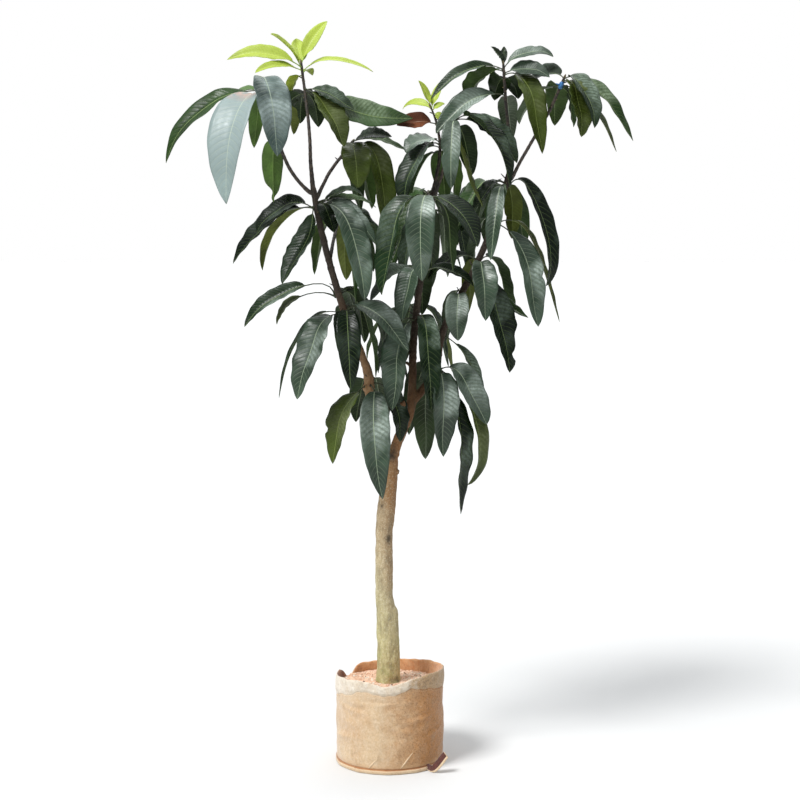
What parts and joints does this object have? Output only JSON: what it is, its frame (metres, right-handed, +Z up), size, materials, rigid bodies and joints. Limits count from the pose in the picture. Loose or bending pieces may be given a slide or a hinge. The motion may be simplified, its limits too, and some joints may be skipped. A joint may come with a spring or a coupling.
{
  "type": "potted mango sapling",
  "caption": "Young mango tree with a bare lower trunk, three boughs and whorls of long drooping leaves, standing in a round fabric grow bag of soil.",
  "frame": {"origin": "middle of the grow bag's flat underside, on the ground", "axes": "+Z up along the trunk, -Y towards the viewer of the picture, +X to the viewer's right"},
  "size_m": [1.2461, 0.8132, 2.0376],
  "materials": {
    "bag_felt": "coarse matt felt",
    "soil": "matt, crumbly",
    "trunk_bark": "smooth matt bark",
    "bough_bark": "matt bark",
    "foliage": "waxy, half gloss"
  },
  "bodies": {
    "root": {"grow_bag": "bag_felt", "soil": "soil", "trunk": "trunk_bark", "left_bough": "bough_bark", "middle_bough": "bough_bark", "right_bough": "bough_bark", "back_shoot": "foliage", "fork_whorl": "foliage", "front_shoot": "foliage", "high_shoot": "foliage", "inner_shoot": "foliage", "left_back_shoot": "foliage", "left_lower_whorl": "foliage", "left_middle_whorl": "foliage", "left_shoot": "foliage", "left_whorl": "foliage", "lower_back_shoot": "foliage", "middle_lower_whorl": "foliage", "middle_shoot": "foliage", "middle_whorl": "foliage", "outer_shoot": "foliage", "right_back_shoot": "foliage", "right_base_whorl": "foliage", "right_inner_whorl": "foliage", "right_lower_whorl": "foliage", "right_middle_whorl": "foliage", "right_upper_whorl": "foliage", "right_whorl": "foliage", "side_shoot": "foliage", "top_flush": "foliage"}
  },
  "joints": []
}
